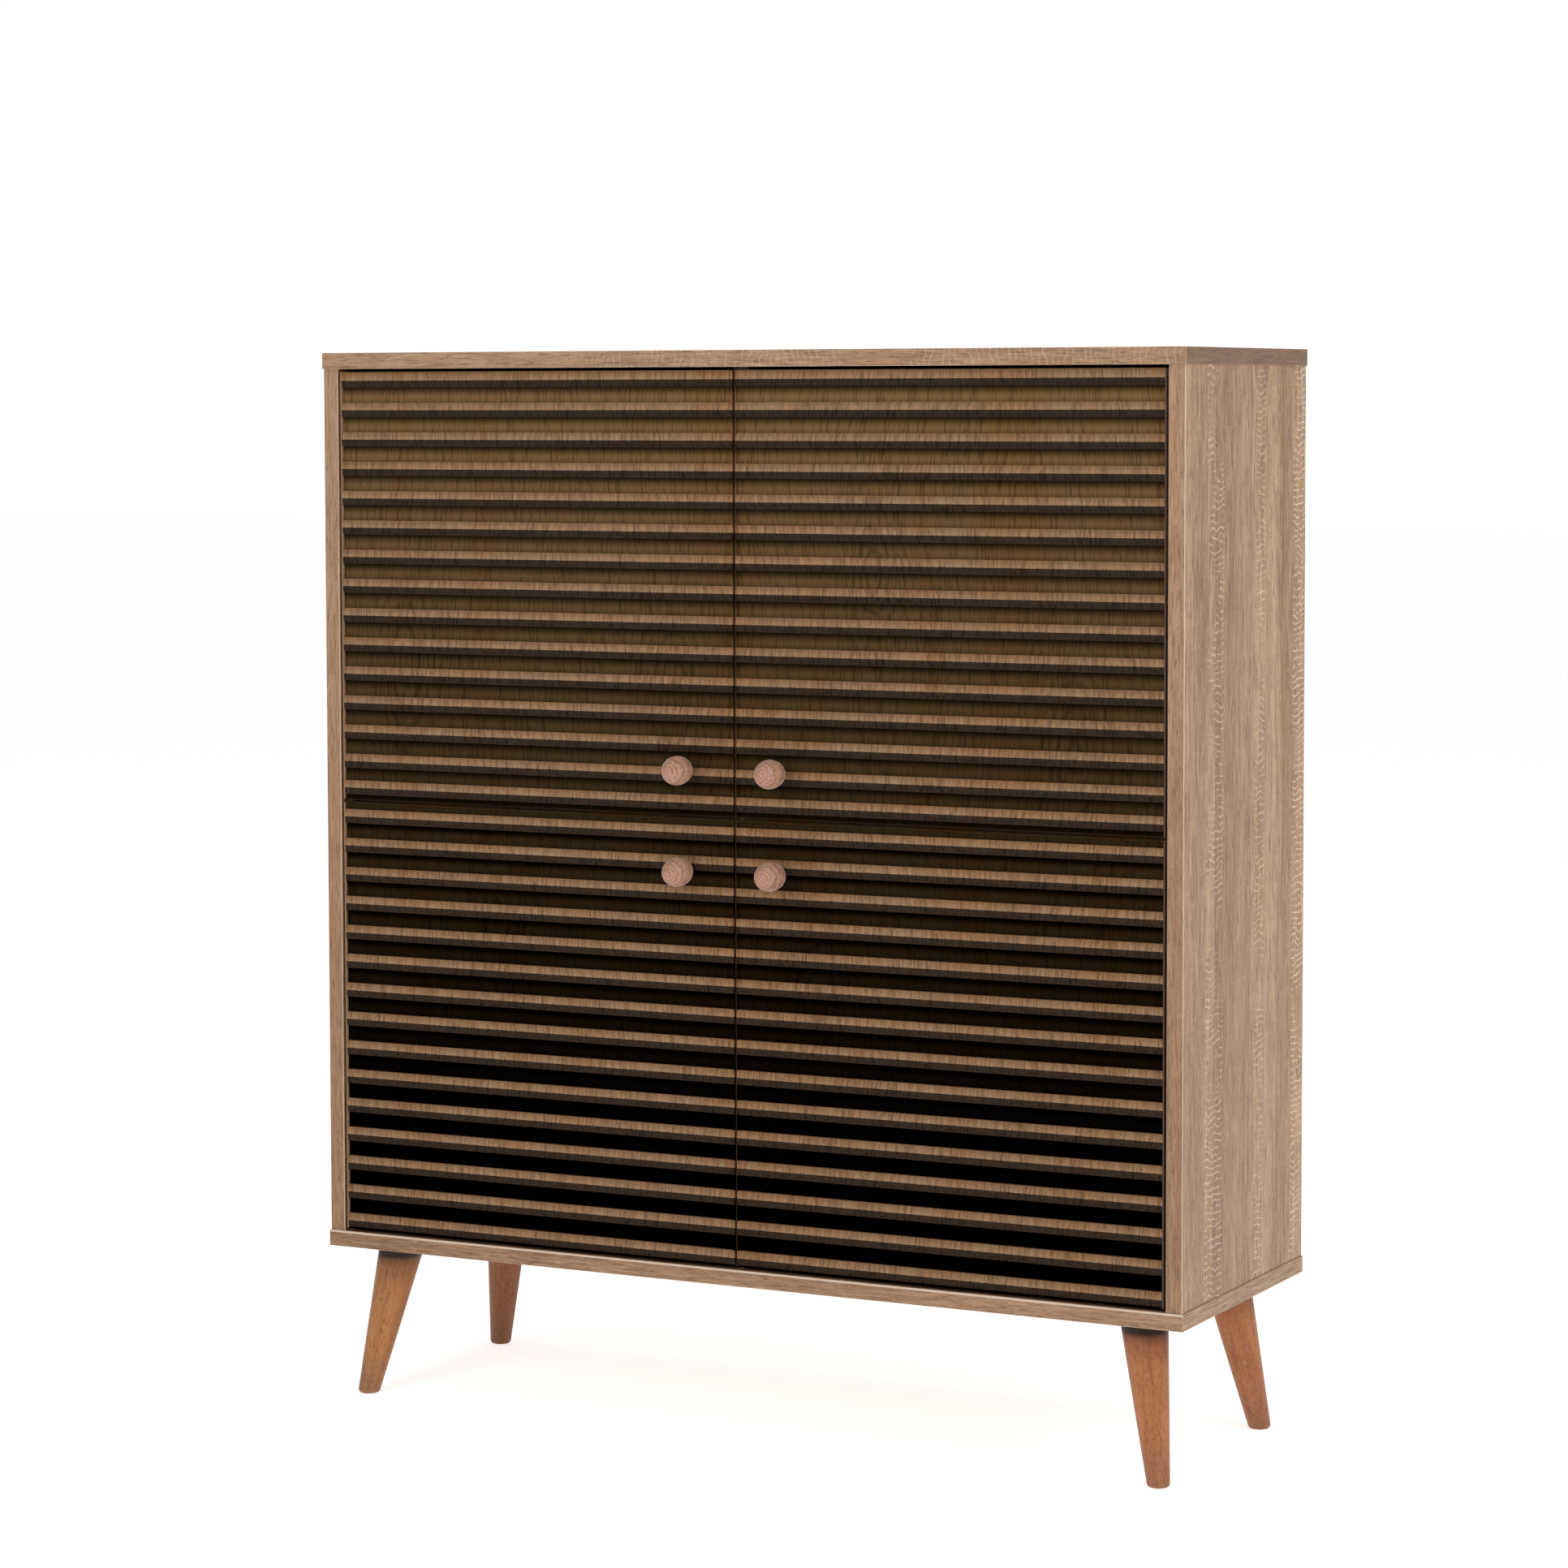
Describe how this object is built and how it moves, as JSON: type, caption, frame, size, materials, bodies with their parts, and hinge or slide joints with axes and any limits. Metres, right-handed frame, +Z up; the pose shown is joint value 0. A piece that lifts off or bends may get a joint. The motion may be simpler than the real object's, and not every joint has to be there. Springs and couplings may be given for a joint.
{
  "type": "shoe cabinet",
  "caption": "Tall shoe cabinet with slatted hinged doors, turned ball knobs, inner shelves and splayed tapered legs.",
  "frame": {"origin": "centre of the bounding box's base on the floor, knobs included", "axes": "+X along the width to the viewer's right, -Y out of the front, +Z up"},
  "size_m": [1.04, 0.394, 1.18],
  "materials": {
    "oak_laminate": "satin laminate with rough-sawn oak grain",
    "slat_oak": "light oak upper facet, dark brown lower facet",
    "door_ground": "dark stained oak",
    "leg_beech": "oiled beech",
    "knob_beech": "raw turned beech",
    "dowel_beech": "raw beech",
    "hardboard": "thin brown hardboard",
    "joiner_plastic": "brown extruded plastic",
    "nickel_steel": "nickel plated",
    "zinc_steel": "bright zinc plated"
  },
  "bodies": {
    "carcass": {"top_panel": "oak_laminate", "bottom_panel": "oak_laminate", "centre_divider": "oak_laminate", "back_joiner": "joiner_plastic", "left_side_panel": "oak_laminate", "left_fixed_shelf": "oak_laminate", "left_back_sheet": "hardboard", "right_side_panel": "oak_laminate", "right_fixed_shelf": "oak_laminate", "right_back_sheet": "hardboard", "upper_left_shelf_1": "oak_laminate", "upper_left_shelf_2": "oak_laminate", "upper_right_shelf_1": "oak_laminate", "upper_right_shelf_2": "oak_laminate", "lower_left_shelf_1": "oak_laminate", "lower_left_shelf_2": "oak_laminate", "lower_right_shelf_1": "oak_laminate", "lower_right_shelf_2": "oak_laminate", "cam_locks": "nickel_steel", "cam_bolts": "nickel_steel", "wood_dowels": "dowel_beech", "shelf_pins": "nickel_steel", "front_left_leg": "leg_beech", "front_right_leg": "leg_beech", "rear_left_leg": "leg_beech", "rear_right_leg": "leg_beech", "leg_bolts": "zinc_steel", "leg_inserts": "nickel_steel", "hinge_plates": "nickel_steel", "hinge_arms": "nickel_steel", "hinge_pins": "zinc_steel", "plate_screws": "zinc_steel"},
    "upper_left_door": {"upper_left_door_panel": "door_ground", "upper_left_door_slats": "slat_oak", "upper_left_knob": "knob_beech", "upper_left_knob_screw": "zinc_steel", "upper_left_hinge_cups": "nickel_steel", "upper_left_cup_screws": "zinc_steel"},
    "upper_left_links": {"upper_left_hinge_links": "nickel_steel"},
    "upper_right_door": {"upper_right_door_panel": "door_ground", "upper_right_door_slats": "slat_oak", "upper_right_knob": "knob_beech", "upper_right_knob_screw": "zinc_steel", "upper_right_hinge_cups": "nickel_steel", "upper_right_cup_screws": "zinc_steel"},
    "upper_right_links": {"upper_right_hinge_links": "nickel_steel"},
    "lower_left_door": {"lower_left_door_panel": "door_ground", "lower_left_door_slats": "slat_oak", "lower_left_knob": "knob_beech", "lower_left_knob_screw": "zinc_steel", "lower_left_hinge_cups": "nickel_steel", "lower_left_cup_screws": "zinc_steel"},
    "lower_left_links": {"lower_left_hinge_links": "nickel_steel"},
    "lower_right_door": {"lower_right_door_panel": "door_ground", "lower_right_door_slats": "slat_oak", "lower_right_knob": "knob_beech", "lower_right_knob_screw": "zinc_steel", "lower_right_hinge_cups": "nickel_steel", "lower_right_cup_screws": "zinc_steel"},
    "lower_right_links": {"lower_right_hinge_links": "nickel_steel"}
  },
  "joints": [
    {"name": "upper_left_door_hinge", "type": "hinge", "parent": "carcass", "child": "upper_left_door", "pos_m": [-0.4925, -0.1465, 0.91875], "axis": [0, 0, -1], "range_deg": [0, 105]},
    {"name": "upper_left_link_pivot", "type": "hinge", "parent": "carcass", "child": "upper_left_links", "pos_m": [-0.4785, -0.1365, 0.91875], "axis": [0, 0, -1], "range_deg": [0, 92]},
    {"name": "upper_right_door_hinge", "type": "hinge", "parent": "carcass", "child": "upper_right_door", "pos_m": [0.4925, -0.1465, 0.91875], "axis": [0, 0, 1], "range_deg": [0, 105]},
    {"name": "upper_right_link_pivot", "type": "hinge", "parent": "carcass", "child": "upper_right_links", "pos_m": [0.4785, -0.1365, 0.91875], "axis": [0, 0, 1], "range_deg": [0, 92]},
    {"name": "lower_left_door_hinge", "type": "hinge", "parent": "carcass", "child": "lower_left_door", "pos_m": [-0.4925, -0.1465, 0.43375], "axis": [0, 0, -1], "range_deg": [0, 105]},
    {"name": "lower_left_link_pivot", "type": "hinge", "parent": "carcass", "child": "lower_left_links", "pos_m": [-0.4785, -0.1365, 0.43375], "axis": [0, 0, -1], "range_deg": [0, 92]},
    {"name": "lower_right_door_hinge", "type": "hinge", "parent": "carcass", "child": "lower_right_door", "pos_m": [0.4925, -0.1465, 0.43375], "axis": [0, 0, 1], "range_deg": [0, 105]},
    {"name": "lower_right_link_pivot", "type": "hinge", "parent": "carcass", "child": "lower_right_links", "pos_m": [0.4785, -0.1365, 0.43375], "axis": [0, 0, 1], "range_deg": [0, 92]}
  ],
  "couplings": [
    {"joint": "upper_left_link_pivot", "follows": "upper_left_door_hinge", "ratio": 0.87},
    {"joint": "upper_right_link_pivot", "follows": "upper_right_door_hinge", "ratio": 0.87},
    {"joint": "lower_left_link_pivot", "follows": "lower_left_door_hinge", "ratio": 0.87},
    {"joint": "lower_right_link_pivot", "follows": "lower_right_door_hinge", "ratio": 0.87}
  ]
}
